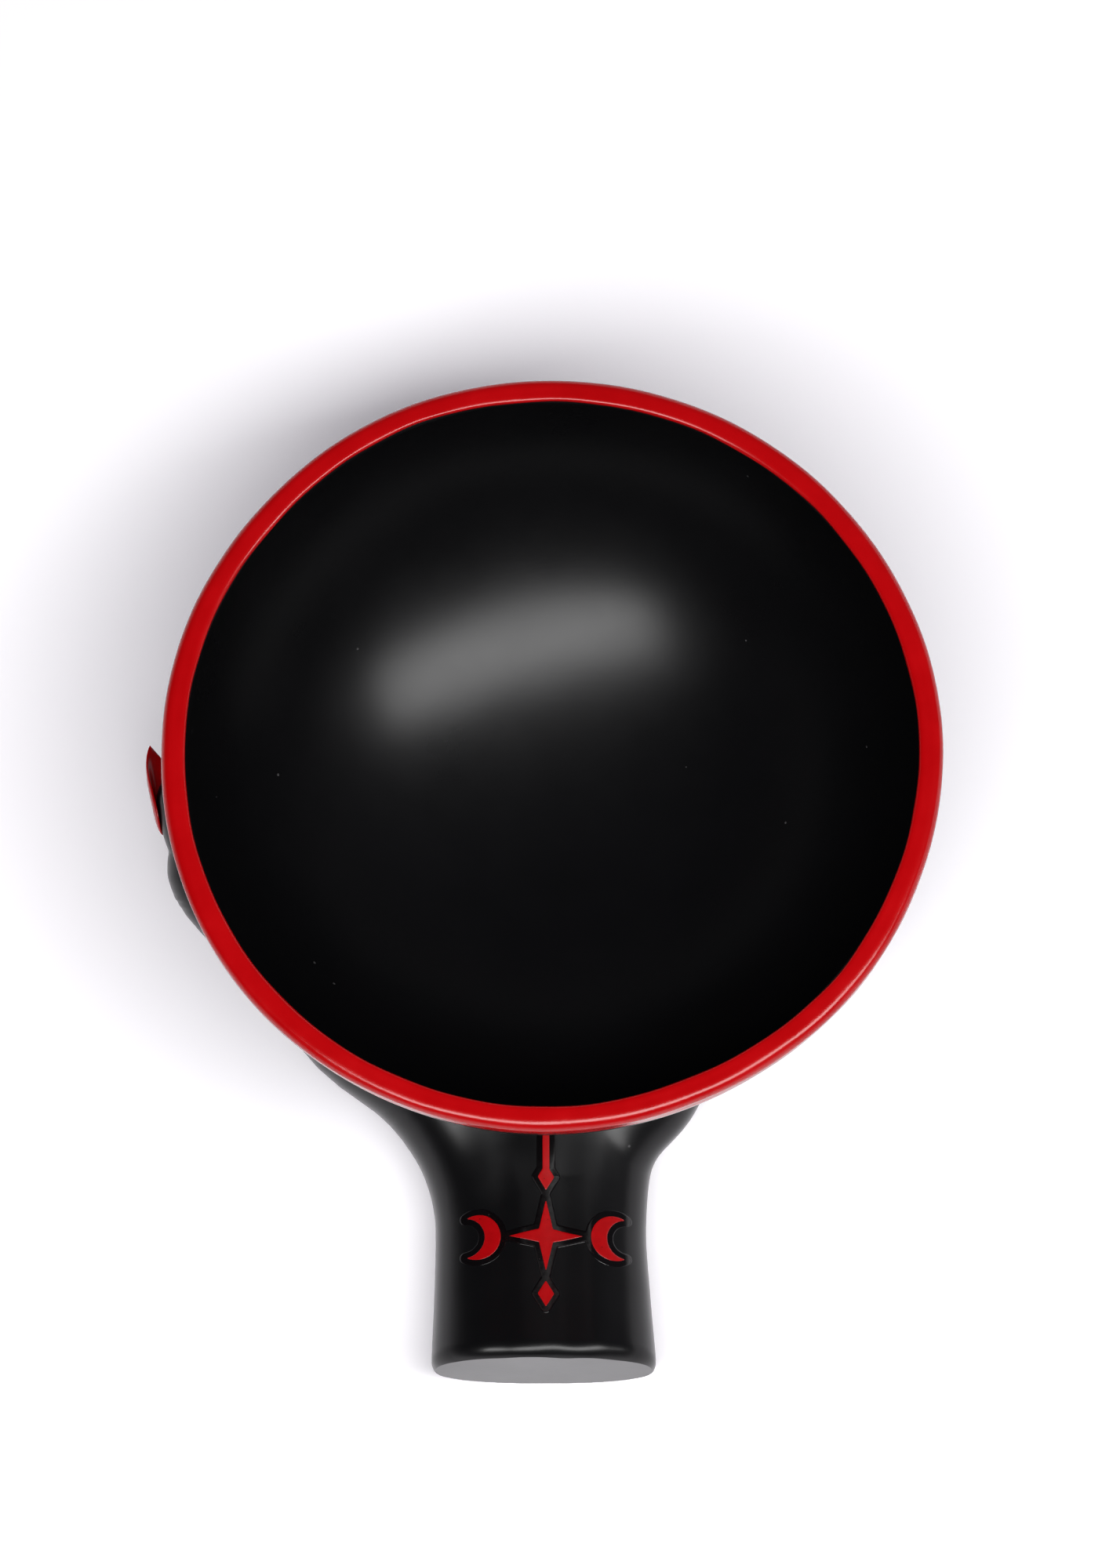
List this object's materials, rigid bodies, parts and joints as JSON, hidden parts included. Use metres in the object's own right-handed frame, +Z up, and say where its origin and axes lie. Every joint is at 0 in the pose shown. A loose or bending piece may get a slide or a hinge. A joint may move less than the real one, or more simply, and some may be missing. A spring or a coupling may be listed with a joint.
{
  "type": "bowl",
  "caption": "Round glazed bowl with an enamelled lip, resting in a sculpted upturned hand whose back and wrist lie on the table.",
  "frame": {"origin": "on the flat ground of the hand's back, directly below the bowl's axis", "axes": "+Z up along the bowl's axis, -Y along the wrist, -X towards the thumb; the hand is a left hand, palm up"},
  "size_m": [0.1527, 0.1875, 0.0823],
  "materials": {
    "black_glaze": "satin",
    "red_enamel": "gloss",
    "black_slip": "matt",
    "red_print": "satin",
    "clear_film": "gloss"
  },
  "bodies": {
    "root": {"bowl_shell": "black_glaze", "rim_band": "red_enamel", "luting_slip": "black_slip", "palm_and_wrist": "black_glaze", "wrist_end_cap": "black_glaze", "thumb": "black_glaze", "index_finger": "black_glaze", "middle_finger": "black_glaze", "ring_finger": "black_glaze", "little_finger": "black_glaze", "thumb_nail": "red_enamel", "index_nail": "red_enamel", "middle_nail": "red_enamel", "ring_nail": "red_enamel", "little_nail": "red_enamel", "emblem_print": "red_print", "emblem_film": "clear_film"}
  },
  "joints": []
}
